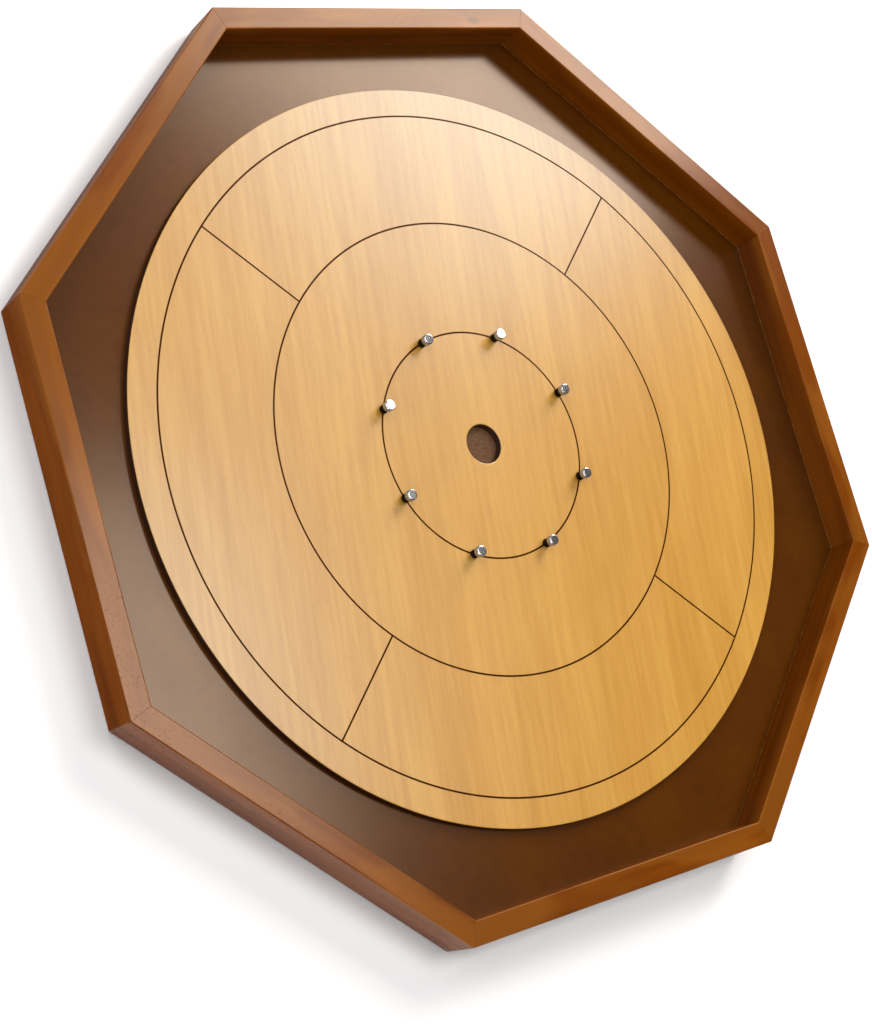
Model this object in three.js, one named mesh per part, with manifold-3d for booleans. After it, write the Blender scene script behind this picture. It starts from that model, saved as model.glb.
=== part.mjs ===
// Octagonal crokinole board: a round playing surface raised on a base panel, inside a frame of eight
// mitred rails that leaves a sunken ditch all round, with eight metal posts and a shallow centre hole.
// Millimetres, +Z up. The origin is on the table, under the centre of the board. The flats of the frame
// face 0, 45, 90 ... degrees from +X. Its corners are at 22.5, 67.5 ... degrees, and the ring of posts
// stands a little clockwise of them.
import * as THREE from 'three';
import { mergeVertices } from 'three/addons/utils/BufferGeometryUtils.js';
import Module from 'manifold-3d';

const SIDES = 8;
const STEP = (2 * Math.PI) / SIDES;
const HALF_STEP = STEP / 2;

// Clearances between pieces that are fitted to each other.
const FIT_GAP = 0.3;

// Heights, stacked from the table upwards.
const FOOT_HEIGHT = 3;
const BASE_THICKNESS = 9.5;
const SURFACE_THICKNESS = 7;
const RAIL_HEIGHT = 41;
const BASE_BOTTOM = FOOT_HEIGHT;
const BASE_TOP = BASE_BOTTOM + BASE_THICKNESS;
const SURFACE_TOP = BASE_TOP + SURFACE_THICKNESS;

// Frame: distances from the centre to the flats.
const FRAME_FLAT = 396.5;
const RAIL_WIDTH = 19.5;
const RAIL_INNER_FLAT = FRAME_FLAT - RAIL_WIDTH;
const REBATE_DEPTH = 10;
const RAIL_TOP_ROUND = 1;
const RAIL_BOTTOM_BEVEL = 0.8;

// Playing surface and what stands on it or sinks into it.
const SURFACE_RADIUS = 330.2;
const SURFACE_EDGE_ROUND = 0.8;
const HOLE_RADIUS = 17.5;
const HOLE_EDGE_ROUND = 1;
const POST_CIRCLE_RADIUS = 101.6;
const POST_RING_TURN = THREE.MathUtils.degToRad(-2.4);
const POST_HEIGHT = 13;
const POST_HEAD_RADIUS = 4.75;
const POST_HEAD_HEIGHT = 5.4;
const POST_HEAD_CHAMFER = 0.9;
const POST_SPINDLE_RADIUS = 2.4;
const POST_DEPTH_IN_SURFACE = 5.5;
const SLEEVE_RADIUS = 3.8;
const SLEEVE_TOP = SURFACE_TOP + POST_HEIGHT - POST_HEAD_HEIGHT;

// Countersunk wood screws, driven up from below.
const SCREW_HEAD_RADIUS = 3.6;
const SCREW_HEAD_HEIGHT = 2.6;
const SCREW_SHANK_RADIUS = 1.75;
const SCREW_POINT_LENGTH = 3;
const SURFACE_SCREW_LENGTH = 14;
const SURFACE_SCREW_CIRCLE_RADIUS = 250;
const RAIL_SCREW_LENGTH = 25;
const RAIL_SCREW_FLAT = RAIL_INNER_FLAT + REBATE_DEPTH / 2;
const RAIL_SCREW_OFFSETS = [-100, 100];

// Round rubber feet, stuck under the base panel inboard of the corners.
const FOOT_RADIUS = 10;
const FOOT_BOTTOM_BEVEL = 1;
const FOOT_CIRCLE_RADIUS = 360;

const wasm = await Module();
wasm.setup();

// ---------------------------------------------------------------- solids

function toManifold(geometry) {
  const bare = geometry.clone();
  bare.deleteAttribute('normal');
  bare.deleteAttribute('uv');
  const merged = mergeVertices(bare, 1e-4);
  return new wasm.Manifold(new wasm.Mesh({
    numProp: 3,
    vertProperties: new Float32Array(merged.attributes.position.array),
    triVerts: new Uint32Array(merged.index.array),
  }));
}

function toGeometry(manifold) {
  const mesh = manifold.getMesh();
  const geometry = new THREE.BufferGeometry();
  geometry.setAttribute('position', new THREE.BufferAttribute(mesh.vertProperties, 3));
  geometry.setIndex(new THREE.BufferAttribute(mesh.triVerts, 1));
  return geometry;
}

function drill(geometry, cutters) {
  const drilled = cutters.reduce((solid, cutter) => solid.subtract(toManifold(cutter)), toManifold(geometry));
  return toGeometry(drilled);
}

// A solid of revolution about Z, from a profile of [radius, height] pairs. The profile starts and ends on
// the axis, or closes on itself.
function turned(profile, segments) {
  const points = profile.map(([radius, height]) => new THREE.Vector2(radius, height));
  return new THREE.LatheGeometry(points, segments).rotateX(Math.PI / 2);
}

// The profile points of a quarter-round edge, from one end angle to the other about a centre.
function edgeRound(centreX, centreY, radius, startAngle, endAngle, steps) {
  const points = [];
  for (let i = 0; i <= steps; i += 1) {
    const angle = startAngle + ((endAngle - startAngle) * i) / steps;
    points.push([centreX + radius * Math.cos(angle), centreY + radius * Math.sin(angle)]);
  }
  return points;
}

function onCircle(radius, angle) {
  return [radius * Math.cos(angle), radius * Math.sin(angle)];
}

// ---------------------------------------------------------------- frame

// One rail on the +X side. Its section lies in X (outwards) and Z, and its ends are mitred by moving
// them along Y in proportion to the distance from the centre.
function railGeometry() {
  const inner = RAIL_INNER_FLAT;
  const outer = FRAME_FLAT;
  const bottom = BASE_BOTTOM;
  const top = BASE_BOTTOM + RAIL_HEIGHT;
  const rebateTop = BASE_TOP + FIT_GAP;
  const round = RAIL_TOP_ROUND;
  const section = [
    [inner + REBATE_DEPTH, bottom],
    [outer - RAIL_BOTTOM_BEVEL, bottom],
    [outer, bottom + RAIL_BOTTOM_BEVEL],
    ...edgeRound(outer - round, top - round, round, 0, Math.PI / 2, 4),
    ...edgeRound(inner + round, top - round, round, Math.PI / 2, Math.PI, 4),
    [inner, rebateTop],
    [inner + REBATE_DEPTH, rebateTop],
  ];
  const shape = new THREE.Shape(section.map(([x, z]) => new THREE.Vector2(x, z)));
  const bar = new THREE.ExtrudeGeometry(shape, { depth: 1, bevelEnabled: false }).rotateX(Math.PI / 2);
  const position = bar.attributes.position;
  const mitreGap = FIT_GAP / 2 / Math.cos(HALF_STEP);
  for (let i = 0; i < position.count; i += 1) {
    const side = position.getY(i) < -0.5 ? -1 : 1;
    position.setY(i, side * (position.getX(i) * Math.tan(HALF_STEP) - mitreGap));
  }
  const pilot = turned([
    [0, bottom],
    [SCREW_SHANK_RADIUS + FIT_GAP, bottom],
    [SCREW_SHANK_RADIUS + FIT_GAP, BASE_BOTTOM + RAIL_SCREW_LENGTH + FIT_GAP],
    [0, BASE_BOTTOM + RAIL_SCREW_LENGTH + SCREW_POINT_LENGTH / 2],
  ], 12);
  return drill(bar, RAIL_SCREW_OFFSETS.map((along) => pilot.clone().translate(RAIL_SCREW_FLAT, along, 0)));
}

// The base panel is an octagon let into the rebate of the rails, with a countersunk hole for each screw.
function basePanelGeometry(screwPlaces) {
  const flat = RAIL_INNER_FLAT + REBATE_DEPTH - FIT_GAP;
  const cornerRadius = flat / Math.cos(HALF_STEP);
  const panel = new THREE.CylinderGeometry(cornerRadius, cornerRadius, BASE_THICKNESS, SIDES)
    .rotateX(Math.PI / 2)
    .rotateZ(HALF_STEP)
    .translate(0, 0, BASE_BOTTOM + BASE_THICKNESS / 2);
  const hole = turned([
    [0, BASE_BOTTOM - 1],
    [SCREW_HEAD_RADIUS + FIT_GAP, BASE_BOTTOM - 1],
    [SCREW_HEAD_RADIUS + FIT_GAP, BASE_BOTTOM + FIT_GAP],
    [SCREW_SHANK_RADIUS + FIT_GAP, BASE_BOTTOM + SCREW_HEAD_HEIGHT + FIT_GAP],
    [SCREW_SHANK_RADIUS + FIT_GAP, BASE_TOP + 1],
    [0, BASE_TOP + 1],
  ], 12);
  return drill(panel, screwPlaces.map(([x, y]) => hole.clone().translate(x, y, 0)));
}

// ---------------------------------------------------------------- playing surface

function playingSurfaceGeometry(postPlaces, screwPlaces) {
  const round = SURFACE_EDGE_ROUND;
  const disc = turned([
    [0, BASE_TOP],
    [SURFACE_RADIUS, BASE_TOP],
    ...edgeRound(SURFACE_RADIUS - round, SURFACE_TOP - round, round, 0, Math.PI / 2, 2),
    [0, SURFACE_TOP],
  ], 144);
  const holeTop = HOLE_RADIUS + HOLE_EDGE_ROUND;
  const centreHole = turned([
    [0, BASE_TOP - 1],
    [HOLE_RADIUS, BASE_TOP - 1],
    ...edgeRound(holeTop, SURFACE_TOP - HOLE_EDGE_ROUND, HOLE_EDGE_ROUND, Math.PI, Math.PI / 2, 3),
    [holeTop, SURFACE_TOP + 1],
    [0, SURFACE_TOP + 1],
  ], 48);
  const postHole = turned([
    [0, SURFACE_TOP - POST_DEPTH_IN_SURFACE - FIT_GAP],
    [POST_SPINDLE_RADIUS + FIT_GAP, SURFACE_TOP - POST_DEPTH_IN_SURFACE - FIT_GAP],
    [POST_SPINDLE_RADIUS + FIT_GAP, SURFACE_TOP + 1],
    [0, SURFACE_TOP + 1],
  ], 16);
  const screwHole = turned([
    [0, BASE_TOP - 1],
    [SCREW_SHANK_RADIUS + FIT_GAP, BASE_TOP - 1],
    [SCREW_SHANK_RADIUS + FIT_GAP, BASE_BOTTOM + SURFACE_SCREW_LENGTH + FIT_GAP],
    [0, BASE_BOTTOM + SURFACE_SCREW_LENGTH + SCREW_POINT_LENGTH / 2],
  ], 12);
  return drill(disc, [
    centreHole,
    ...postPlaces.map(([x, y]) => postHole.clone().translate(x, y, 0)),
    ...screwPlaces.map(([x, y]) => screwHole.clone().translate(x, y, 0)),
  ]);
}

// ---------------------------------------------------------------- posts

// A post is turned in one piece: a short head with a chamfered top, on a spindle that goes down through
// its sleeve into the playing surface.
function postGeometry() {
  const top = SURFACE_TOP + POST_HEIGHT;
  return turned([
    [0, SURFACE_TOP - POST_DEPTH_IN_SURFACE],
    [POST_SPINDLE_RADIUS, SURFACE_TOP - POST_DEPTH_IN_SURFACE],
    [POST_SPINDLE_RADIUS, SLEEVE_TOP],
    [POST_HEAD_RADIUS, SLEEVE_TOP],
    [POST_HEAD_RADIUS, top - POST_HEAD_CHAMFER],
    [POST_HEAD_RADIUS - POST_HEAD_CHAMFER, top],
    [0, top],
  ], 24);
}

// The rubber sleeve is a short tube that fills the space between the head and the playing surface.
function sleeveGeometry() {
  const bore = POST_SPINDLE_RADIUS + FIT_GAP;
  return turned([
    [bore, SURFACE_TOP],
    [SLEEVE_RADIUS, SURFACE_TOP],
    [SLEEVE_RADIUS, SLEEVE_TOP],
    [bore, SLEEVE_TOP],
    [bore, SURFACE_TOP],
  ], 24);
}

// ---------------------------------------------------------------- screws and feet

// A countersunk screw whose head is flush with the underside of the base panel, point upwards.
function screwGeometry(length) {
  const bottom = BASE_BOTTOM;
  return turned([
    [0, bottom],
    [SCREW_HEAD_RADIUS, bottom],
    [SCREW_SHANK_RADIUS, bottom + SCREW_HEAD_HEIGHT],
    [SCREW_SHANK_RADIUS, bottom + length - SCREW_POINT_LENGTH],
    [0, bottom + length],
  ], 12);
}

function footGeometry() {
  return turned([
    [0, 0],
    [FOOT_RADIUS - FOOT_BOTTOM_BEVEL, 0],
    [FOOT_RADIUS, FOOT_BOTTOM_BEVEL],
    [FOOT_RADIUS, FOOT_HEIGHT],
    [0, FOOT_HEIGHT],
  ], 24);
}

// ---------------------------------------------------------------- materials

const stainedWood = new THREE.MeshStandardMaterial({ color: 0x7a4418, roughness: 0.4, metalness: 0 });
const darkStainedWood = new THREE.MeshStandardMaterial({ color: 0x4a2c14, roughness: 0.4, metalness: 0 });
const beech = new THREE.MeshStandardMaterial({ color: 0xe0b878, roughness: 0.35, metalness: 0 });
const nickel = new THREE.MeshStandardMaterial({ color: 0xc8c4bc, roughness: 0.2, metalness: 1 });
const zincSteel = new THREE.MeshStandardMaterial({ color: 0xa8a498, roughness: 0.4, metalness: 1 });
const blackRubber = new THREE.MeshStandardMaterial({ color: 0x1c1c1c, roughness: 0.9, metalness: 0 });

// ---------------------------------------------------------------- assembly

const cornerAngles = Array.from({ length: SIDES }, (_, i) => HALF_STEP + i * STEP);
const sideAngles = Array.from({ length: SIDES }, (_, i) => i * STEP);

const postPlaces = cornerAngles.map((angle) => onCircle(POST_CIRCLE_RADIUS, angle + POST_RING_TURN));
const surfaceScrewPlaces = sideAngles.map((angle) => onCircle(SURFACE_SCREW_CIRCLE_RADIUS, angle));
const footPlaces = cornerAngles.map((angle) => onCircle(FOOT_CIRCLE_RADIUS, angle));
const railScrewPlaces = sideAngles.flatMap((angle) => RAIL_SCREW_OFFSETS.map((along) => [
  RAIL_SCREW_FLAT * Math.cos(angle) - along * Math.sin(angle),
  RAIL_SCREW_FLAT * Math.sin(angle) + along * Math.cos(angle),
]));

const board = new THREE.Group();

function add(name, geometry, material, x = 0, y = 0, turn = 0) {
  const mesh = new THREE.Mesh(geometry, material);
  mesh.name = name;
  mesh.position.set(x, y, 0);
  mesh.rotation.z = turn;
  board.add(mesh);
}

function addAtPlaces(prefix, places, geometry, material) {
  places.forEach(([x, y], i) => add(`${prefix}_${i + 1}`, geometry, material, x, y));
}

add('base_panel', basePanelGeometry([...surfaceScrewPlaces, ...railScrewPlaces]), darkStainedWood);
add('playing_surface', playingSurfaceGeometry(postPlaces, surfaceScrewPlaces), beech);

const rail = railGeometry();
sideAngles.forEach((angle, i) => add(`rail_${i + 1}`, rail, stainedWood, 0, 0, angle));

addAtPlaces('post', postPlaces, postGeometry(), nickel);
addAtPlaces('post_sleeve', postPlaces, sleeveGeometry(), blackRubber);
addAtPlaces('surface_screw', surfaceScrewPlaces, screwGeometry(SURFACE_SCREW_LENGTH), zincSteel);
addAtPlaces('rail_screw', railScrewPlaces, screwGeometry(RAIL_SCREW_LENGTH), zincSteel);
addAtPlaces('foot', footPlaces, footGeometry(), blackRubber);

export default board;
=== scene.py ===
"""Crokinole board: the looks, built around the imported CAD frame. Metres, +Z up out of the board.

Every wooden, metal and rubber piece is rebuilt here as a finer mesh than its CAD node, in the same
place and size, with a procedural material. Grain follows a "grain" attribute that each wooden mesh
holds: x runs along the grain, y and z across it.
"""
import math
import random

import bmesh
import bpy
from mathutils import Matrix, Vector


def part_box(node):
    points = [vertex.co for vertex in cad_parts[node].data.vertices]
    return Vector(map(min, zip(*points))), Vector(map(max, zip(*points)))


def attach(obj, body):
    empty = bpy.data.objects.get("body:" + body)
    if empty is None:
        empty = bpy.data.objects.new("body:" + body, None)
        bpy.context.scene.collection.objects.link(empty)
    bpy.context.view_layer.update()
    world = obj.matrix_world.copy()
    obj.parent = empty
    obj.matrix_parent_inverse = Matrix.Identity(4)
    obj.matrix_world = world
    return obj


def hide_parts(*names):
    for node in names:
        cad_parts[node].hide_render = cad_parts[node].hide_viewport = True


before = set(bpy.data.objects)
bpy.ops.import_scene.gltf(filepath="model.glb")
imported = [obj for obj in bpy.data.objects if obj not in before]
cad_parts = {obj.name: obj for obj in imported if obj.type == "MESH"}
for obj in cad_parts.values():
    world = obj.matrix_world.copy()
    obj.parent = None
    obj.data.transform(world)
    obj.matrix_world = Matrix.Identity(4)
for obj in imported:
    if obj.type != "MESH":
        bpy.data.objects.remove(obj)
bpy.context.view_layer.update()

# ---------------------------------------------------------------- dimensions, from the frame

MM = 0.001
SIDES = 8
STEP = 2 * math.pi / SIDES
HALF_STEP = STEP / 2

surface_low, surface_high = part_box("playing_surface")
SURFACE_RADIUS = surface_high.x
SURFACE_BOTTOM = surface_low.z
SURFACE_TOP = surface_high.z

rail_low, rail_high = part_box("rail_1")
RAIL_INNER = rail_low.x
RAIL_OUTER = rail_high.x
RAIL_BOTTOM = rail_low.z
RAIL_TOP = rail_high.z

panel_low, panel_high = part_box("base_panel")
PANEL_FLAT = panel_high.x

post_low, post_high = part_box("post_1")
sleeve_low, sleeve_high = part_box("post_sleeve_1")
foot_low, foot_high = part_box("foot_1")
screw_low, screw_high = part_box("rail_screw_1")
SCREW_HEAD_RADIUS = (screw_high.x - screw_low.x) / 2
surface_screws = [f"surface_screw_{i + 1}" for i in range(8)]
rail_screws = [f"rail_screw_{i + 1}" for i in range(16)]

# Details that the frame doesn't give.
FIT_GAP = 0.3 * MM
HOLE_RADIUS = 17.5 * MM
SCREW_HEAD_HEIGHT = 2.6 * MM
SCREW_SHANK_RADIUS = 1.75 * MM
SPINDLE_RADIUS = 2.4 * MM
LINE_WIDTH = 1.72 * MM
LINE_CIRCLES = {"inner": 101.6 * MM, "middle": 203.2 * MM, "outer": 304.8 * MM}


def centre_of(node):
    low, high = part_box(node)
    return (low + high) / 2


# ---------------------------------------------------------------- mesh helpers

# A profile point nearer to the axis than this lies on it.
ON_AXIS = 0.0001 * MM

# Vertices nearer to each other than this after a cut are one vertex.
SAME_PLACE = 0.0002 * MM


def mesh_of(name, vertices, faces):
    mesh = bpy.data.meshes.new(name)
    mesh.from_pydata(vertices, [], faces)
    return mesh


def make_object(name, mesh, materials, smooth_below=40):
    """A shown piece that rides on the board. Edges sharper than smooth_below degrees stay sharp."""
    for material in materials:
        mesh.materials.append(material)
    mesh.shade_smooth()
    mesh.set_sharp_from_angle(angle=math.radians(smooth_below))
    piece = bpy.data.objects.new(name, mesh)
    bpy.context.scene.collection.objects.link(piece)
    return piece


def arc(centre, radius, start, end, steps):
    """Points of an arc in a profile, from start to end degrees about centre."""
    points = []
    for i in range(steps + 1):
        angle = math.radians(start + (end - start) * i / steps)
        points.append((centre[0] + radius * math.cos(angle), centre[1] + radius * math.sin(angle)))
    return points


def turned_mesh(name, profile, segments, closed=False, at=(0, 0), wobble=None):
    """A solid of revolution about Z from (radius, height) pairs. Ends on the axis, or closes on itself.

    wobble(row, angle), if given, is added to the radius.
    """
    vertices = []
    rows = []
    for row, (radius, height) in enumerate(profile):
        if radius < ON_AXIS:
            rows.append([len(vertices)])
            vertices.append((at[0], at[1], height))
            continue
        rows.append(list(range(len(vertices), len(vertices) + segments)))
        for i in range(segments):
            angle = 2 * math.pi * i / segments
            r = radius + (wobble(row, angle) if wobble else 0)
            vertices.append((at[0] + r * math.cos(angle), at[1] + r * math.sin(angle), height))
    pairs = list(zip(rows, rows[1:]))
    if closed:
        pairs.append((rows[-1], rows[0]))
    faces = []
    for low, high in pairs:
        for i in range(segments):
            j = (i + 1) % segments
            if len(low) == 1 and len(high) == 1:
                break
            if len(low) == 1:
                faces.append((low[0], high[j], high[i]))
            elif len(high) == 1:
                faces.append((low[i], low[j], high[0]))
            else:
                faces.append((low[i], low[j], high[j], high[i]))
    return mesh_of(name, vertices, faces)


def cut(mesh, cutters, crossing=False):
    """The mesh with the cutters taken out of it. crossing says that the cutters overlap each other."""
    joined = bmesh.new()
    for cutter in cutters:
        joined.from_mesh(cutter)
    tool_mesh = bpy.data.meshes.new("cutter")
    joined.to_mesh(tool_mesh)
    joined.free()
    body = bpy.data.objects.new("cut_body", mesh)
    tool = bpy.data.objects.new("cut_tool", tool_mesh)
    for o in (body, tool):
        bpy.context.scene.collection.objects.link(o)
    boolean = body.modifiers.new("cut", "BOOLEAN")
    boolean.operation = "DIFFERENCE"
    boolean.solver = "EXACT"
    boolean.use_self = crossing
    boolean.object = tool
    graph = bpy.context.evaluated_depsgraph_get()
    result = bpy.data.meshes.new_from_object(body.evaluated_get(graph), depsgraph=graph)
    bpy.data.objects.remove(body)
    bpy.data.objects.remove(tool)
    cleaned = bmesh.new()
    cleaned.from_mesh(result)
    bmesh.ops.remove_doubles(cleaned, verts=cleaned.verts, dist=SAME_PLACE)
    cleaned.to_mesh(result)
    cleaned.free()
    return result


def set_grain(mesh, along, offset):
    """Stores grain coordinates: x along the grain direction, y across it, z upwards, all in metres."""
    across = Vector((-along.y, along.x, 0))
    values = []
    for vertex in mesh.vertices:
        place = (vertex.co.dot(along), vertex.co.dot(across), vertex.co.z)
        values += [distance + shift for distance, shift in zip(place, offset)]
    mesh.attributes.new("grain", "FLOAT_VECTOR", "POINT").data.foreach_set("vector", values)


# ---------------------------------------------------------------- material helpers


class Nodes:
    """Builds one material's nodes. Each call adds a node, sets its inputs and returns its output."""

    def __init__(self, name):
        self.material = bpy.data.materials.new(name)
        self.material.use_nodes = True
        self.tree = self.material.node_tree
        self.shader = self.tree.nodes["Principled BSDF"]

    def link(self, value, socket):
        if isinstance(value, bpy.types.NodeSocket):
            self.tree.links.new(value, socket)
        else:
            socket.default_value = value

    def attribute(self, name, output="Vector"):
        node = self.tree.nodes.new("ShaderNodeAttribute")
        node.attribute_name = name
        return node.outputs[output]

    def position(self):
        return self.tree.nodes.new("ShaderNodeTexCoord").outputs["Object"]

    def scaled(self, vector, scale):
        node = self.tree.nodes.new("ShaderNodeVectorMath")
        node.operation = "MULTIPLY"
        self.link(vector, node.inputs[0])
        self.link(scale, node.inputs[1])
        return node.outputs[0]

    def added(self, vector, other):
        node = self.tree.nodes.new("ShaderNodeVectorMath")
        node.operation = "ADD"
        self.link(vector, node.inputs[0])
        self.link(other, node.inputs[1])
        return node.outputs[0]

    def length(self, vector):
        node = self.tree.nodes.new("ShaderNodeVectorMath")
        node.operation = "LENGTH"
        self.link(vector, node.inputs[0])
        return node.outputs["Value"]

    def height(self, vector):
        node = self.tree.nodes.new("ShaderNodeSeparateXYZ")
        self.link(vector, node.inputs[0])
        return node.outputs["Z"]

    def noise(self, vector, scale=1.0, detail=2.0, roughness=0.5, distortion=0.0, output="Fac"):
        node = self.tree.nodes.new("ShaderNodeTexNoise")
        self.link(vector, node.inputs["Vector"])
        for key, value in (("Scale", scale), ("Detail", detail), ("Roughness", roughness)):
            node.inputs[key].default_value = value
        node.inputs["Distortion"].default_value = distortion
        return node.outputs[output]

    def range(self, value, low, high, to_low=0.0, to_high=1.0):
        node = self.tree.nodes.new("ShaderNodeMapRange")
        node.interpolation_type = "SMOOTHSTEP"
        self.link(value, node.inputs["Value"])
        for key, number in (("From Min", low), ("From Max", high), ("To Min", to_low), ("To Max", to_high)):
            node.inputs[key].default_value = number
        return node.outputs["Result"]

    def math(self, operation, a, b):
        node = self.tree.nodes.new("ShaderNodeMath")
        node.operation = operation
        self.link(a, node.inputs[0])
        self.link(b, node.inputs[1])
        return node.outputs[0]

    def mix(self, factor, a, b, blend="MIX"):
        node = self.tree.nodes.new("ShaderNodeMix")
        node.data_type = "RGBA"
        node.blend_type = blend
        self.link(factor, node.inputs[0])
        self.link(a, node.inputs[6])
        self.link(b, node.inputs[7])
        return node.outputs[2]

    def bump(self, height, strength, distance, normal=None):
        node = self.tree.nodes.new("ShaderNodeBump")
        node.inputs["Strength"].default_value = strength
        node.inputs["Distance"].default_value = distance
        self.link(height, node.inputs["Height"])
        if normal is not None:
            self.link(normal, node.inputs["Normal"])
        return node.outputs["Normal"]

    def finish(self, colour, roughness, normal=None, metallic=0.0, specular=0.5, tint=(1, 1, 1)):
        self.link(colour, self.shader.inputs["Base Color"])
        self.link(roughness, self.shader.inputs["Roughness"])
        if normal is not None:
            self.link(normal, self.shader.inputs["Normal"])
        self.shader.inputs["Metallic"].default_value = metallic
        self.shader.inputs["IOR"].default_value = 1.5
        self.shader.inputs["Specular IOR Level"].default_value = specular
        self.shader.inputs["Specular Tint"].default_value = (*tint, 1.0)
        return self.material


def rgb(red, green, blue):
    return (red, green, blue, 1.0)


# ---------------------------------------------------------------- materials


BEECH_BASE = (rgb(0.495, 0.240, 0.027), rgb(0.545, 0.280, 0.042))
BEECH_DARK = rgb(0.36, 0.155, 0.014)
BEECH_PALE = rgb(0.66, 0.38, 0.075)
BEECH_FLECK = rgb(0.26, 0.10, 0.012)

RUBBED_STAIN = rgb(0.33, 0.115, 0.012)
# Dried glue in the wall joints, lightened so that it also serves as a painted highlight on the lacquer
# fillet.
GLUE_WITH_PAINTED_HIGHLIGHT = rgb(0.30, 0.135, 0.035)

# The one knot that shows, on top of rail_3: its place, and how ragged its edge is.
KNOT_PLACE = (0.105, 0.385)
KNOT_RAGGED = 4 * MM

# Places on rail_5 and rail_6 with many pits, as (x, y, reach).
PITTED_PLACES = ((-0.385, -0.150, 0.075), (-0.292, -0.252, 0.030))


def beech_veneer():
    """Pale beech under satin lacquer: broad soft figure, fine streaks and short darker flecks."""
    n = Nodes("beech_veneer")
    grain = n.attribute("grain")
    drift = n.noise(n.scaled(grain, (1.6, 9, 9)), detail=1.0, output="Color")
    wavy = n.added(grain, n.scaled(drift, (0.0, 0.010, 0.0)))
    figure = n.noise(n.scaled(wavy, (2.2, 26, 26)), detail=2.0)
    streaks = n.noise(n.scaled(wavy, (9, 150, 150)), detail=3.0, roughness=0.62)
    fibres = n.noise(n.scaled(wavy, (30, 640, 640)), detail=2.0, roughness=0.6)
    fleck_noise = n.noise(n.scaled(wavy, (110, 1300, 1300)), detail=1.0)
    flecks = n.range(fleck_noise, 0.64, 0.74)
    base = n.mix(n.range(figure, 0.34, 0.66), *BEECH_BASE)
    dark_streak = n.mix(0.25, base, BEECH_DARK)
    pale_streak = n.mix(0.165, base, BEECH_PALE)
    streaked = n.mix(n.range(streaks, 0.30, 0.70), dark_streak, pale_streak)
    fibrous = n.mix(n.range(fibres, 0.40, 0.75, 0.0, 0.16), streaked, BEECH_DARK)
    colour = n.mix(n.math("MULTIPLY", flecks, 0.22), fibrous, BEECH_FLECK)
    roughness = n.range(streaks, 0.2, 0.8, 0.285, 0.297)
    height = n.math("SUBTRACT", n.math("MULTIPLY", fibres, 0.3), flecks)
    normal = n.bump(height, 0.04, 0.00002)
    return n.finish(colour, roughness, normal, specular=0.85, tint=(0.45, 0.77, 1.0))


def stained_wood(name, light, dark, pore, roughness, specular, tint):
    """Stained solid wood with satin lacquer: uneven stain, streaks, patches of pits and rubbed edges."""
    n = Nodes(name)
    grain = n.attribute("grain")
    wear = n.attribute("wear", "Fac")
    drift = n.noise(n.scaled(grain, (3, 20, 20)), detail=1.0, output="Color")
    wavy = n.added(grain, n.scaled(drift, (0.0, 0.006, 0.006)))
    blotch = n.noise(n.scaled(grain, (9, 30, 30)), detail=2.0)
    streaks = n.noise(n.scaled(wavy, (10, 190, 190)), detail=4.0, roughness=0.6)
    bands = n.noise(n.scaled(wavy, (2.5, 70, 70)), detail=2.0)
    tone = n.math("ADD", n.math("MULTIPLY", blotch, 0.5), n.math("MULTIPLY", bands, 0.5))
    base = n.mix(n.range(tone, 0.36, 0.64), light, dark)
    streaked = n.mix(n.range(streaks, 0.38, 0.70, 0.0, 0.35), base, dark)
    pit_noise = n.noise(n.scaled(grain, (520, 620, 620)), detail=1.0)
    pit_places = n.range(n.noise(n.scaled(grain, (11, 14, 14)), detail=1.0), 0.56, 0.70)
    for x, y, reach in PITTED_PLACES:
        away = n.length(n.scaled(n.added(n.position(), (-x, -y, 0)), (1, 1, 0)))
        pit_places = n.math("MAXIMUM", pit_places, n.range(away, reach * 0.4, reach, 1.0, 0.0))
    pits = n.math("MULTIPLY", n.range(pit_noise, 0.64, 0.69), pit_places)
    pitted = n.mix(n.math("MULTIPLY", pits, 0.9), streaked, pore)
    rubbed = n.range(n.math("MULTIPLY", wear, n.range(blotch, 0.3, 0.62)), 0.25, 0.85, 0.0, 0.45)
    worn = n.mix(rubbed, pitted, RUBBED_STAIN)
    x, y = KNOT_PLACE
    from_knot = n.length(n.scaled(n.added(n.position(), (-x, -y, 0.0)), (0.55, 1.0, 0.0)))
    from_ragged_knot = n.math("ADD", from_knot, n.math("MULTIPLY", streaks, KNOT_RAGGED))
    knotted = n.mix(n.range(from_ragged_knot, 3 * MM, 7 * MM, 0.75, 0.0), worn, pore)
    # A thin lighter line at the foot of the inner walls: a glue bead, painted lighter as the highlight its
    # lacquer fillet catches.
    bead_noise = n.noise(n.scaled(grain, (90, 0, 0)), detail=3.0, roughness=0.7)
    bead_height = n.range(bead_noise, 0.35, 0.68, 0.1 * MM, 1.3 * MM)
    over_bead = n.math("SUBTRACT", n.height(grain), bead_height)
    glue_line_highlight = n.range(over_bead, SURFACE_BOTTOM, SURFACE_BOTTOM + 0.5 * MM, 0.75, 0.0)
    colour = n.mix(n.math("MULTIPLY", glue_line_highlight, n.attribute("inner_wall", "Fac")), knotted, GLUE_WITH_PAINTED_HIGHLIGHT)
    roughness = n.range(streaks, 0.25, 0.75, *roughness)
    height = n.math("SUBTRACT", n.math("MULTIPLY", streaks, 0.3), n.math("MULTIPLY", pits, 3.0))
    normal = n.bump(height, 0.2, 0.00003)
    return n.finish(colour, roughness, normal, specular=specular, tint=tint)


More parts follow.
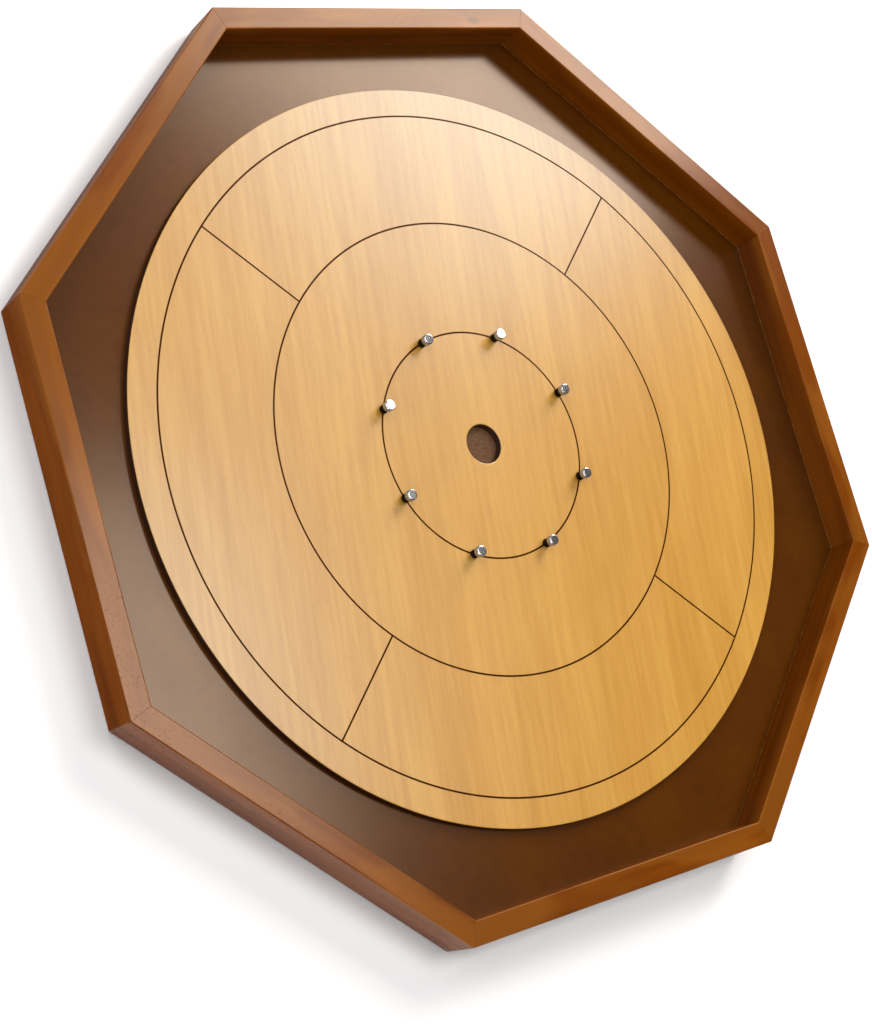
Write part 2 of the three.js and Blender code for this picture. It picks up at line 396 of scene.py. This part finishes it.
def stained_panel():
    """Dark stained board: a faint mottle, fine speckle and a satin coat, bare and fibrous in the hole, where
    a lighter, greyer colour is painted sheen.
    """
    n = Nodes("stained_panel")
    place = n.position()
    cloud = n.noise(place, scale=9.0, detail=3.0, roughness=0.55)
    mottle = n.noise(place, scale=120.0, detail=3.0, roughness=0.6)
    speckle = n.noise(place, scale=900.0, detail=1.0)
    base = n.mix(n.range(cloud, 0.35, 0.65), rgb(0.085, 0.0245, 0.0010), rgb(0.070, 0.0185, 0.0006))
    mottled = n.mix(n.range(mottle, 0.42, 0.70, 0.0, 0.25), base, rgb(0.045, 0.011, 0.0004))
    speckled = n.mix(n.range(speckle, 0.62, 0.78, 0.0, 0.10), mottled, rgb(0.13, 0.050, 0.005))
    from_axis = n.length(n.scaled(place, (1, 1, 0)))
    in_hole = n.range(from_axis, HOLE_RADIUS - 2 * MM, HOLE_RADIUS + 2 * MM, 0.8, 0.0)
    on_top = n.range(n.height(place), panel_high.z - MM, panel_high.z - 0.5 * MM)
    fibre = n.range(n.noise(n.scaled(place, (260, 900, 900)), detail=2.0), 0.35, 0.70)
    # Bare fibrous board in the hole, painted lighter and greyer there as a painted sheen.
    worn = n.mix(fibre, rgb(0.150, 0.080, 0.042), rgb(0.095, 0.047, 0.024))
    colour = n.mix(n.math("MULTIPLY", in_hole, on_top), speckled, worn)
    roughness = n.range(cloud, 0.3, 0.7, 0.185, 0.205)
    normal = n.bump(mottle, 0.06, 0.00002)
    return n.finish(colour, roughness, normal, specular=0.485, tint=(1.0, 0.82, 0.63))


def dark_edge_and_shade():
    """The disc's rim and the wall of its hole: bare board painted almost black-brown; the near-black is
    partly painted shade.
    """
    n = Nodes("dark_edge_and_shade")
    place = n.position()
    mottle = n.noise(n.scaled(place, (260, 260, 700)), detail=3.0)
    colour = n.mix(n.range(mottle, 0.35, 0.7), rgb(0.020, 0.0045, 0.0012), rgb(0.045, 0.012, 0.003))
    normal = n.bump(mottle, 0.35, 0.00008)
    return n.finish(colour, n.range(mottle, 0.3, 0.7, 0.45, 0.6), normal)


def ink():
    """Dark brown printing ink, a little uneven."""
    n = Nodes("line_ink")
    place = n.position()
    blots = n.noise(place, scale=700.0, detail=2.0)
    colour = n.mix(n.range(blots, 0.35, 0.7), rgb(0.030, 0.0050, 0.0002), rgb(0.050, 0.010, 0.0005))
    roughness = n.range(blots, 0.3, 0.7, 0.30, 0.40)
    return n.finish(colour, roughness, n.bump(blots, 0.1, 0.00002), specular=0.06, tint=(1.0, 0.6, 0.2))


def nickel(name, grey, roughness, metallic, polish):
    """Nickel plate with faint polishing marks. Below a metallic of 1 it scatters as a brushed side does."""
    n = Nodes(name)
    place = n.position()
    marks = n.noise(place, scale=1500.0, detail=3.0, roughness=0.6)
    clouds = n.noise(place, scale=260.0, detail=2.0)
    colour = n.mix(clouds, rgb(grey, grey, grey), rgb(grey * 0.85, grey * 0.85, grey * 0.87))
    normal = n.bump(marks, polish, 0.00001)
    return n.finish(colour, n.range(marks, 0.3, 0.7, *roughness), normal, metallic=metallic)


def zinc():
    """Bright zinc plate on a wood screw, dulled in patches."""
    n = Nodes("zinc_plate")
    place = n.position()
    patches = n.noise(place, scale=420.0, detail=3.0)
    colour = n.mix(n.range(patches, 0.35, 0.65), rgb(0.62, 0.60, 0.54), rgb(0.42, 0.40, 0.36))
    roughness = n.range(patches, 0.3, 0.7, 0.28, 0.46)
    return n.finish(colour, roughness, n.bump(patches, 0.15, 0.00003), metallic=1.0)


def rubber(name, light, dark, specular):
    """Matt moulded rubber with a fine skin texture and a little dust."""
    n = Nodes(name)
    place = n.position()
    skin = n.noise(place, scale=2200.0, detail=2.0)
    dust = n.noise(place, scale=180.0, detail=3.0)
    colour = n.mix(n.range(dust, 0.45, 0.75, 0.0, 0.6), dark, light)
    roughness = n.range(dust, 0.3, 0.7, 0.55, 0.75)
    return n.finish(colour, roughness, n.bump(skin, 0.3, 0.00003), specular=specular)


BEECH = beech_veneer()
RAIL_TONES = (rgb(0.170, 0.042, 0.0015), rgb(0.105, 0.023, 0.0007), rgb(0.040, 0.009, 0.0005))
TOP_SHEEN = (1.0, 0.84, 0.65)
SIDE_SHEEN = (1.0, 0.80, 0.55)
RAIL_WOOD = stained_wood("stained_rail_wood", *RAIL_TONES, (0.185, 0.205), 0.38, TOP_SHEEN)
RAIL_SIDE_WOOD = stained_wood("stained_rail_side", *RAIL_TONES, (0.26, 0.30), 0.20, SIDE_SHEEN)
RAIL_EDGE_WOOD = stained_wood("rubbed_rail_edge", *RAIL_TONES, (0.34, 0.40), 0.12, SIDE_SHEEN)
RAIL_DRY_WOOD = stained_wood("dry_rail_side", *RAIL_TONES, (0.34, 0.40), 0.01, SIDE_SHEEN)
PANEL = stained_panel()
EDGE = dark_edge_and_shade()
INK = ink()
NICKEL_FACE = nickel("nickel_face", 0.60, (0.175, 0.195), 1.0, 0.002)
# The side's grey is set darker than the face's: painted shade on the side of each head.
NICKEL_SIDE = nickel("nickel_side", 0.42, (0.30, 0.38), 0.75, 0.03)
ZINC = zinc()
SLEEVE_RUBBER = rubber("sleeve_rubber", rgb(0.014, 0.006, 0.003), rgb(0.006, 0.003, 0.001), 0.1)
FOOT_RUBBER = rubber("foot_rubber", rgb(0.050, 0.048, 0.045), rgb(0.018, 0.018, 0.018), 0.5)


# ---------------------------------------------------------------- frame rails

RAIL_LENGTH_STEPS = 44
RAIL_TOP_ROUND = 1.0 * MM
RAIL_BOTTOM_BEVEL = 0.8 * MM
WEAR_REACH = 3.2 * MM
MITRE_GAP = 0.02 * MM
MITRE_EASE = 0.12 * MM

# A narrow flat beside each rounded edge keeps the shading of the broad faces flat.
SUPPORT = 0.15 * MM

# The rails, counted from 0, whose outer sides were stained but hardly lacquered.
DRY_SIDED = (3, 4)

# A face whose normal rises between these belongs to a rail's rounded top edges.
EDGE_RISE = (0.05, 0.998)


def rail_section():
    """The rail's outline as (distance from the centre, height), with how rubbed each point is."""
    rebate_top = SURFACE_BOTTOM + FIT_GAP
    top = RAIL_TOP
    r = RAIL_TOP_ROUND
    points = [(PANEL_FLAT + FIT_GAP, RAIL_BOTTOM), (RAIL_OUTER - RAIL_BOTTOM_BEVEL, RAIL_BOTTOM)]
    points += [(RAIL_OUTER, RAIL_BOTTOM + RAIL_BOTTOM_BEVEL), (RAIL_OUTER, top - r - SUPPORT)]
    points += arc((RAIL_OUTER - r, top - r), r, 0, 90, 8) + [(RAIL_OUTER - r - SUPPORT, top)]
    points += [(RAIL_INNER + r + SUPPORT, top)] + arc((RAIL_INNER + r, top - r), r, 90, 180, 8)
    points += [(RAIL_INNER, top - r - SUPPORT), (RAIL_INNER, rebate_top), (PANEL_FLAT + FIT_GAP, rebate_top)]
    return points


def wear_at(x, z):
    """1 on the two top edges of a rail, falling to 0 within a few millimetres."""
    nearest = min(math.hypot(x - edge, z - RAIL_TOP) for edge in (RAIL_INNER, RAIL_OUTER))
    return max(0.0, 1.0 - nearest / WEAR_REACH)


def rail_mesh(name, angle, offset):
    """A mitred rail with eased ends that faces angle. offset moves its grain away from its neighbours'."""
    section = rail_section()
    middle_x = (RAIL_INNER + RAIL_OUTER) / 2
    middle_z = (RAIL_BOTTOM + RAIL_TOP) / 2
    tangent = math.tan(HALF_STEP)
    turn = Matrix.Rotation(angle, 3, "Z")
    vertices, grain, wear, inner, rows = [], [], [], [], []
    ease_share = 1 - 2 * MITRE_EASE / (2 * middle_x * tangent)
    shares = [ease_share * (2 * i / RAIL_LENGTH_STEPS - 1) for i in range(RAIL_LENGTH_STEPS + 1)]
    for share in [-1.0] + shares + [1.0]:
        rows.append(range(len(vertices), len(vertices) + len(section)))
        eased = MITRE_EASE if abs(share) == 1.0 else 0.0
        for x, z in section:
            px = x - math.copysign(eased, x - middle_x)
            pz = z - math.copysign(eased, z - middle_z)
            y = share * (px * tangent - MITRE_GAP)
            vertices.append(turn @ Vector((px, y, pz)))
            grain += [y + offset, x - middle_x + offset, z]
            wear.append(wear_at(x, z))
            inner.append(1.0 if x == RAIL_INNER and z > RAIL_BOTTOM else 0.0)
    count = len(section)
    faces = [tuple(rows[0]), tuple(reversed(rows[-1]))]
    for low, high in zip(rows, rows[1:]):
        for i in range(count):
            j = (i + 1) % count
            faces.append((low[i], high[i], high[j], low[j]))
    mesh = mesh_of(name, vertices, faces)
    mesh.attributes.new("grain", "FLOAT_VECTOR", "POINT").data.foreach_set("vector", grain)
    mesh.attributes.new("wear", "FLOAT", "POINT").data.foreach_set("value", wear)
    mesh.attributes.new("inner_wall", "FLOAT", "POINT").data.foreach_set("value", inner)
    return mesh


def make_rails():
    for i in range(SIDES):
        mesh = rail_mesh(f"frame_rail_{i + 1}", i * STEP, 1.37 * (i + 1))
        side_wood = RAIL_DRY_WOOD if i in DRY_SIDED else RAIL_SIDE_WOOD
        rail = make_object(f"frame_rail_{i + 1}", mesh, [RAIL_WOOD, side_wood, RAIL_EDGE_WOOD], 35)
        outward = Vector((math.cos(i * STEP), math.sin(i * STEP), 0))
        for face in mesh.polygons:
            if face.center.dot(outward) > RAIL_OUTER - 0.01 * MM:
                face.material_index = 1
            elif EDGE_RISE[0] < face.normal.z < EDGE_RISE[1]:
                face.material_index = 2
        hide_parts(f"rail_{i + 1}")
        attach(rail, "root")


# ---------------------------------------------------------------- base panel


def screw_hole_mesh(place):
    x, y, _ = place
    head = SCREW_HEAD_RADIUS + FIT_GAP
    shank = SCREW_SHANK_RADIUS + FIT_GAP
    low = panel_low.z
    above = panel_high.z + MM
    profile = [(0, low - MM), (head, low - MM), (head, low + FIT_GAP)]
    profile += [(shank, low + SCREW_HEAD_HEIGHT + FIT_GAP), (shank, above), (0, above)]
    return turned_mesh("screw_hole", profile, 40, at=(x, y))


def make_base_panel():
    """An octagonal panel with eased edges, and a countersunk hole for each screw."""
    ease = 0.4 * MM
    levels = [(PANEL_FLAT - ease, panel_low.z), (PANEL_FLAT, panel_low.z + ease),
              (PANEL_FLAT, panel_high.z - ease), (PANEL_FLAT - ease, panel_high.z)]
    vertices, rows = [], []
    for flat, z in levels:
        rows.append(range(len(vertices), len(vertices) + SIDES))
        corner = flat / math.cos(HALF_STEP)
        for i in range(SIDES):
            angle = HALF_STEP + i * STEP
            vertices.append((corner * math.cos(angle), corner * math.sin(angle), z))
    faces = [tuple(reversed(rows[0])), tuple(rows[-1])]
    for low, high in zip(rows, rows[1:]):
        for i in range(SIDES):
            j = (i + 1) % SIDES
            faces.append((low[i], low[j], high[j], high[i]))
    solid = mesh_of("panel", vertices, faces)
    holes = [screw_hole_mesh(centre_of(name)) for name in surface_screws + rail_screws]
    panel = make_object("ditch_panel", cut(solid, holes), [PANEL], 30)
    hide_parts("base_panel")
    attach(panel, "root")


# ---------------------------------------------------------------- playing surface


# The veneer's grain runs a little off +Y, towards +X.
VENEER_TURN = math.radians(7.7)
VENEER_GRAIN = Vector((math.sin(VENEER_TURN), math.cos(VENEER_TURN), 0))
RIM_ROUND = 0.8 * MM
HOLE_ROUND = 1.0 * MM
RIM_BOTTOM_EASE = 0.3 * MM

# The near-black rim colour, partly painted shade, reaches up to this share of the rounding below the top.
DARK_EDGE_BELOW_TOP = 0.35


def make_playing_surface():
    """A veneered disc with eased rims, the centre hole, and the sockets for posts and screws."""
    rim, lip = RIM_ROUND, HOLE_ROUND
    low, high = SURFACE_BOTTOM, SURFACE_TOP
    profile = [(HOLE_RADIUS, low), (SURFACE_RADIUS - RIM_BOTTOM_EASE, low)]
    profile += [(SURFACE_RADIUS, low + RIM_BOTTOM_EASE), (SURFACE_RADIUS, high - rim - SUPPORT)]
    profile += arc((SURFACE_RADIUS - rim, high - rim), rim, 0, 90, 6)
    profile += [(SURFACE_RADIUS - rim - SUPPORT, high), (HOLE_RADIUS + lip + SUPPORT, high)]
    profile += arc((HOLE_RADIUS + lip, high - lip), lip, 90, 180, 6)
    profile += [(HOLE_RADIUS, high - lip - SUPPORT)]
    disc = turned_mesh("disc", profile, 288, closed=True)
    sockets = []
    for i in range(SIDES):
        x, y, _ = centre_of(f"post_{i + 1}")
        bore = SPINDLE_RADIUS + FIT_GAP
        bottom = post_low.z - FIT_GAP
        profile = [(0, bottom), (bore, bottom), (bore, high + MM), (0, high + MM)]
        sockets.append(turned_mesh("post_socket", profile, 32, at=(x, y)))
        x, y, _ = centre_of(surface_screws[i])
        bore = SCREW_SHANK_RADIUS + FIT_GAP
        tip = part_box(surface_screws[i])[1].z
        profile = [(0, low - MM), (bore, low - MM), (bore, tip), (0, tip + MM)]
        sockets.append(turned_mesh("screw_socket", profile, 32, at=(x, y)))
    mesh = cut(disc, sockets)
    set_grain(mesh, VENEER_GRAIN, (0.7, 1.3, 0))
    surface = make_object("playing_disc", mesh, [BEECH, EDGE], 30)
    for face in mesh.polygons:
        if face.center.z < high - rim * DARK_EDGE_BELOW_TOP:
            face.material_index = 1
    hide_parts("playing_surface")
    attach(surface, "root")


# ---------------------------------------------------------------- printed lines

LINE_PROUD = 0.08 * MM
LINE_SUNK = 0.12 * MM
LINE_EASE = 0.1 * MM
LINE_STEPS = 24

# How far a quadrant line runs into the circles at its ends, and how much lower it is than they are.
LINE_OVERLAP = 0.4
LINE_STEP_DOWN = 0.01 * MM


def make_lines():
    """Three circles and four quadrant lines, printed as thin raised ribbons of ink."""
    low, high = SURFACE_TOP - LINE_SUNK, SURFACE_TOP + LINE_PROUD
    half = LINE_WIDTH / 2
    narrow = half - LINE_EASE
    for name, radius in LINE_CIRCLES.items():
        profile = [(radius - half, low), (radius + half, low)]
        profile += [(radius + narrow, high), (radius - narrow, high)]
        mesh = turned_mesh(f"{name}_circle", profile, 360, closed=True)
        piece = make_object(f"{name}_circle_line", mesh, [INK])
        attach(piece, "root")
    start = LINE_CIRCLES["middle"] + half * (1 - LINE_OVERLAP)
    end = LINE_CIRCLES["outer"] - half * (1 - LINE_OVERLAP)
    top = high - LINE_STEP_DOWN
    section = ((-half, low), (half, low), (narrow, top), (-narrow, top))
    for i in range(4):
        turn = Matrix.Rotation(math.radians(45 + 90 * i), 3, "Z")
        vertices = []
        for k in range(LINE_STEPS + 1):
            x = start + (end - start) * k / LINE_STEPS
            vertices += [turn @ Vector((x, y, z)) for y, z in section]
        faces = [(0, 3, 2, 1), tuple(4 * LINE_STEPS + c for c in range(4))]
        for k in range(LINE_STEPS):
            for c in range(4):
                d = (c + 1) % 4
                faces.append((4 * k + c, 4 * k + d, 4 * k + 4 + d, 4 * k + 4 + c))
        piece = make_object(f"quadrant_line_{i + 1}", mesh_of("quadrant_line", vertices, faces), [INK])
        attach(piece, "root")


# ---------------------------------------------------------------- posts

# How far each post's top leans, in degrees, and towards which side: none is faced quite square.
POST_LEANS = [(1.6, 262), (5.0, 85), (2.6, 265), (5.0, 85), (2.4, 262), (1.6, 80), (1.0, 265), (1.2, 258)]
POST_CHAMFER = 0.7 * MM
POST_SOFTNESS = 0.16 * MM
POST_CROWN = 0.02 * MM
SPINDLE_EASE = 0.5 * MM
SLEEVE_CLEARANCE = 0.1 * MM
SLEEVE_FOOT_EASE = 0.3 * MM
SLEEVE_ROUND = 0.4 * MM


def post_mesh(x, y, lean, towards):
    """A turned head on a spindle, with soft arrises and a face that leans towards one side."""
    head = (post_high.x - post_low.x) / 2
    top, under = post_high.z, sleeve_high.z
    flat, shoulder = head - POST_CHAMFER, top - POST_CHAMFER
    soft = POST_SOFTNESS
    profile = [(0, post_low.z), (SPINDLE_RADIUS - SPINDLE_EASE, post_low.z)]
    profile += [(SPINDLE_RADIUS, post_low.z + SPINDLE_EASE), (SPINDLE_RADIUS, under), (head - soft, under)]
    profile += arc((head - soft, under + soft), soft, -90, 0, 4)[1:]
    profile += [(head, shoulder - soft * 1.4), (head - soft * 0.3, shoulder - soft * 0.3)]
    profile += [(head - soft, shoulder + soft * 0.6), (flat + soft * 0.8, top - soft)]
    profile += [(flat + soft * 0.2, top - soft * 0.35), (flat - soft, top - soft * 0.1)]
    profile += [(flat * share, top - POST_CROWN * share) for share in (0.8, 0.5, 0.25)] + [(0, top)]
    mesh = turned_mesh("post", profile, 72, at=(x, y))
    slope = math.tan(math.radians(lean))
    direction = Vector((math.cos(math.radians(towards)), math.sin(math.radians(towards)), 0))
    leaning_from = shoulder - 2 * soft
    for vertex in mesh.vertices:
        share = max(0.0, (vertex.co.z - leaning_from) / (top - leaning_from))
        offset = (vertex.co - Vector((x, y, 0))).dot(direction)
        vertex.co.z -= share * slope * (offset + head)
    return mesh


def sleeve_mesh(x, y):
    """A short tube with a rounded top edge."""
    low, high = sleeve_low.z, sleeve_high.z
    bore = SPINDLE_RADIUS + SLEEVE_CLEARANCE
    outer = (sleeve_high.x - sleeve_low.x) / 2
    ring = [(bore, low), (outer - SLEEVE_FOOT_EASE, low), (outer, low + SLEEVE_FOOT_EASE)]
    ring += arc((outer - SLEEVE_ROUND, high - SLEEVE_ROUND), SLEEVE_ROUND, 0, 90, 4) + [(bore, high)]
    return turned_mesh("sleeve", ring, 64, closed=True, at=(x, y))


def make_posts():
    for i in range(SIDES):
        x, y, _ = centre_of(f"post_{i + 1}")
        mesh = post_mesh(x, y, *POST_LEANS[i])
        post = make_object(f"post_head_{i + 1}", mesh, [NICKEL_SIDE, NICKEL_FACE], 50)
        for face in mesh.polygons:
            if face.normal.z > 0.5:
                face.material_index = 1
        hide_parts(f"post_{i + 1}")
        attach(post, "root")
        sleeve = make_object(f"sleeve_{i + 1}", sleeve_mesh(x, y), [SLEEVE_RUBBER], 40)
        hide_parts(f"post_sleeve_{i + 1}")
        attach(sleeve, "root")


# ---------------------------------------------------------------- screws and feet

THREAD_PITCH = 1.3 * MM
THREAD_DEPTH = 0.35 * MM
THREAD_ROWS_PER_PITCH = 6
PLAIN_SHANK = 1.5 * MM
THREAD_START = 2 * MM
POINT_LENGTH = 3 * MM
HEAD_RIM = 0.3 * MM
HEAD_EASE = (0.25 * MM, 0.15 * MM)
RECESS_LENGTH = 4.2 * MM
RECESS_FLOOR_SHARE = 0.45
RECESS_WIDTH = 0.9 * MM
RECESS_DEPTH = 1.5 * MM
RECESS_OVERSHOOT = 0.5 * MM


def screw_recess(bottom):
    """Two crossing tapered slots, to be cut into a screw's head from below."""
    recess = bmesh.new()
    for quarter in range(2):
        arm = bmesh.ops.create_cube(recess, size=1.0)["verts"]
        for vertex in arm:
            inside = vertex.co.z > 0
            vertex.co.x *= RECESS_LENGTH * (RECESS_FLOOR_SHARE if inside else 1.0)
            vertex.co.y *= RECESS_WIDTH
            vertex.co.z = bottom + (RECESS_DEPTH if inside else -RECESS_OVERSHOOT)
        bmesh.ops.rotate(recess, verts=arm, matrix=Matrix.Rotation(quarter * math.pi / 2, 3, "Z"))
    mesh = bpy.data.meshes.new("recess")
    recess.to_mesh(mesh)
    recess.free()
    return mesh


def screw_mesh(length):
    """A countersunk wood screw on the Z axis, head down, with a helical thread and a cross recess."""
    bottom = screw_low.z
    tip = bottom + length
    neck = bottom + SCREW_HEAD_HEIGHT
    head = SCREW_HEAD_RADIUS
    shank = SCREW_SHANK_RADIUS
    core = shank - THREAD_DEPTH
    profile = [(0, bottom), (head - HEAD_EASE[0], bottom), (head, bottom + HEAD_EASE[1])]
    profile += [(head, bottom + HEAD_RIM), (shank, neck), (shank, neck + PLAIN_SHANK)]
    first_thread_row = len(profile)
    rows = int((tip - neck - THREAD_START) / THREAD_PITCH * THREAD_ROWS_PER_PITCH)
    for k in range(rows):
        z = neck + THREAD_START + k * THREAD_PITCH / THREAD_ROWS_PER_PITCH
        profile.append((core * min(1.0, (tip - z) / POINT_LENGTH), z))
    profile.append((0, tip))

    def thread(row, angle):
        """How far the ridge of the thread stands out of the core, once a turn and once a pitch."""
        k = row - first_thread_row
        if k < 1 or k > rows - 2:
            return 0
        phase = (k / THREAD_ROWS_PER_PITCH - angle / (2 * math.pi)) % 1.0
        return THREAD_DEPTH * max(0.0, 1 - abs(phase - 0.5) * 4)

    solid = turned_mesh("screw", profile, 28, wobble=thread)
    return cut(solid, [screw_recess(bottom)], crossing=True)


def make_screws():
    turns = random.Random(11)
    for nodes in (surface_screws, rail_screws):
        low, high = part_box(nodes[0])
        pattern = screw_mesh(high.z - low.z)
        for node in nodes:
            centre = centre_of(node)
            mesh = pattern.copy()
            turn = Matrix.Rotation(turns.uniform(0, math.pi / 2), 4, "Z")
            mesh.transform(Matrix.Translation((centre.x, centre.y, 0)) @ turn)
            piece = make_object(f"{node}_threaded", mesh, [ZINC], 35)
            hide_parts(node)
            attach(piece, "root")


FOOT_ROUND = 1.0 * MM
FOOT_TOP_EASE = 0.2 * MM


def make_feet():
    """Round rubber feet with a soft shoulder and a shallow dimple underneath."""
    radius = (foot_high.x - foot_low.x) / 2
    bottom, top = foot_low.z, foot_high.z
    profile = [(0, bottom + 0.5 * MM), (3 * MM, bottom + 0.45 * MM)]
    profile += [(4 * MM, bottom + 0.1 * MM), (4.6 * MM, bottom)]
    profile += arc((radius - FOOT_ROUND, bottom + FOOT_ROUND), FOOT_ROUND, -90, 0, 6)
    profile += [(radius, top - FOOT_TOP_EASE), (radius - FOOT_TOP_EASE, top), (0, top)]
    for i in range(SIDES):
        x, y, _ = centre_of(f"foot_{i + 1}")
        mesh = turned_mesh("foot", profile, 64, at=(x, y))
        piece = make_object(f"rubber_foot_{i + 1}", mesh, [FOOT_RUBBER])
        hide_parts(f"foot_{i + 1}")
        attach(piece, "root")


# ---------------------------------------------------------------- stage, lights and camera

VIEW_AZIMUTH = 77.36
VIEW_ELEVATION = 53.84
VIEW_ROLL = 63.85
VIEW_DISTANCE = 1.5655
VIEW_POINT = Vector((-0.0707, -0.0528, 0.0215))
LENS = 65.56
LIGHT_DISTANCE = 4.0
FLOOR_RADIUS = 1.7
FLOOR_SIDES = 128

# How bright the studio's walls are near the horizon and overhead, and the heights between which they
# fade, as the upward part of a direction.
HORIZON_GLOW = 0.80
OVERHEAD_GLOW = 0.02
GLOW_FADE = (0.14, 0.36)


def make_floor():
    """A round pale floor."""
    n = Nodes("studio_floor")
    soft = n.noise(n.position(), scale=1.5, detail=2.0)
    colour = n.mix(soft, rgb(0.92, 0.92, 0.92), rgb(0.90, 0.90, 0.91))
    material = n.finish(colour, 0.7)
    rim = arc((0, 0), FLOOR_RADIUS, 0, 360, FLOOR_SIDES)[:-1]
    mesh = mesh_of("studio_floor", [(x, y, 0) for x, y in rim], [tuple(range(FLOOR_SIDES))])
    mesh.materials.append(material)
    floor = bpy.data.objects.new("studio_floor", mesh)
    bpy.context.scene.collection.objects.link(floor)


def direction_to(azimuth, elevation):
    """The direction at an azimuth from +X towards +Y and an elevation, in degrees."""
    a, e = math.radians(azimuth), math.radians(elevation)
    return Vector((math.cos(a) * math.cos(e), math.sin(a) * math.cos(e), math.sin(e)))


def softbox(name, azimuth, elevation, width, height, radiance):
    """A far rectangular light that faces the board, upright, with the same radiance all over."""
    data = bpy.data.lights.new(name, "AREA")
    data.shape = "RECTANGLE"
    data.size, data.size_y = width, height
    brightest = max(radiance)
    data.energy = brightest * math.pi * width * height
    data.color = [channel / brightest for channel in radiance]
    light = bpy.data.objects.new(name, data)
    bpy.context.scene.collection.objects.link(light)
    light.location = direction_to(azimuth, elevation) * LIGHT_DISTANCE
    light.rotation_euler = light.location.to_track_quat("Z", "Y").to_euler()


def make_lights():
    softbox("key", 40.6, 30.5, 2.00, 2.86, (11.3, 10.6, 10.0))
    softbox("top", 4.6, 76.8, 1.33, 1.81, (8.7, 8.6, 8.5))
    softbox("fill", 140.0, 50.5, 3.75, 2.63, (2.3, 2.3, 2.3))
    softbox("front", 212.0, 28.0, 3.0, 2.0, (3.6, 3.6, 3.6))


def make_world():
    """A studio that is pale around the horizon and nearly dark overhead, so the lacquer stays deep."""
    world = bpy.data.worlds.new("studio")
    world.use_nodes = True
    tree = world.node_tree
    direction = tree.nodes.new("ShaderNodeTexCoord").outputs["Generated"]
    separate = tree.nodes.new("ShaderNodeSeparateXYZ")
    tree.links.new(direction, separate.inputs[0])
    fade = tree.nodes.new("ShaderNodeMapRange")
    fade.interpolation_type = "SMOOTHSTEP"
    tree.links.new(separate.outputs["Z"], fade.inputs["Value"])
    fade.inputs["From Min"].default_value = GLOW_FADE[0]
    fade.inputs["From Max"].default_value = GLOW_FADE[1]
    fade.inputs["To Min"].default_value = HORIZON_GLOW
    fade.inputs["To Max"].default_value = OVERHEAD_GLOW
    background = tree.nodes["Background"]
    background.inputs["Color"].default_value = rgb(1.0, 0.99, 0.97)
    tree.links.new(fade.outputs["Result"], background.inputs["Strength"])
    bpy.context.scene.world = world


def make_camera():
    """The camera looks along its azimuth, from +Y towards +X, and down by its elevation, and is rolled."""
    a, e, r = (math.radians(v) for v in (VIEW_AZIMUTH, VIEW_ELEVATION, VIEW_ROLL))
    forward = Vector((math.sin(a) * math.cos(e), math.cos(a) * math.cos(e), -math.sin(e)))
    level_right = Vector((math.cos(a), -math.sin(a), 0))
    level_up = level_right.cross(forward)
    right = level_right * math.cos(r) + level_up * math.sin(r)
    up = right.cross(forward)
    data = bpy.data.cameras.new("camera")
    data.lens = LENS
    data.clip_end = 60
    camera = bpy.data.objects.new("camera", data)
    bpy.context.scene.collection.objects.link(camera)
    axes = Matrix((right, up, -forward)).transposed()
    camera.matrix_world = Matrix.Translation(VIEW_POINT - forward * VIEW_DISTANCE) @ axes.to_4x4()
    bpy.context.scene.camera = camera


make_rails()
make_base_panel()
make_playing_surface()
make_lines()
make_posts()
make_screws()
make_feet()
make_floor()
make_lights()
make_world()
make_camera()
bpy.context.scene.view_settings.view_transform = "Standard"
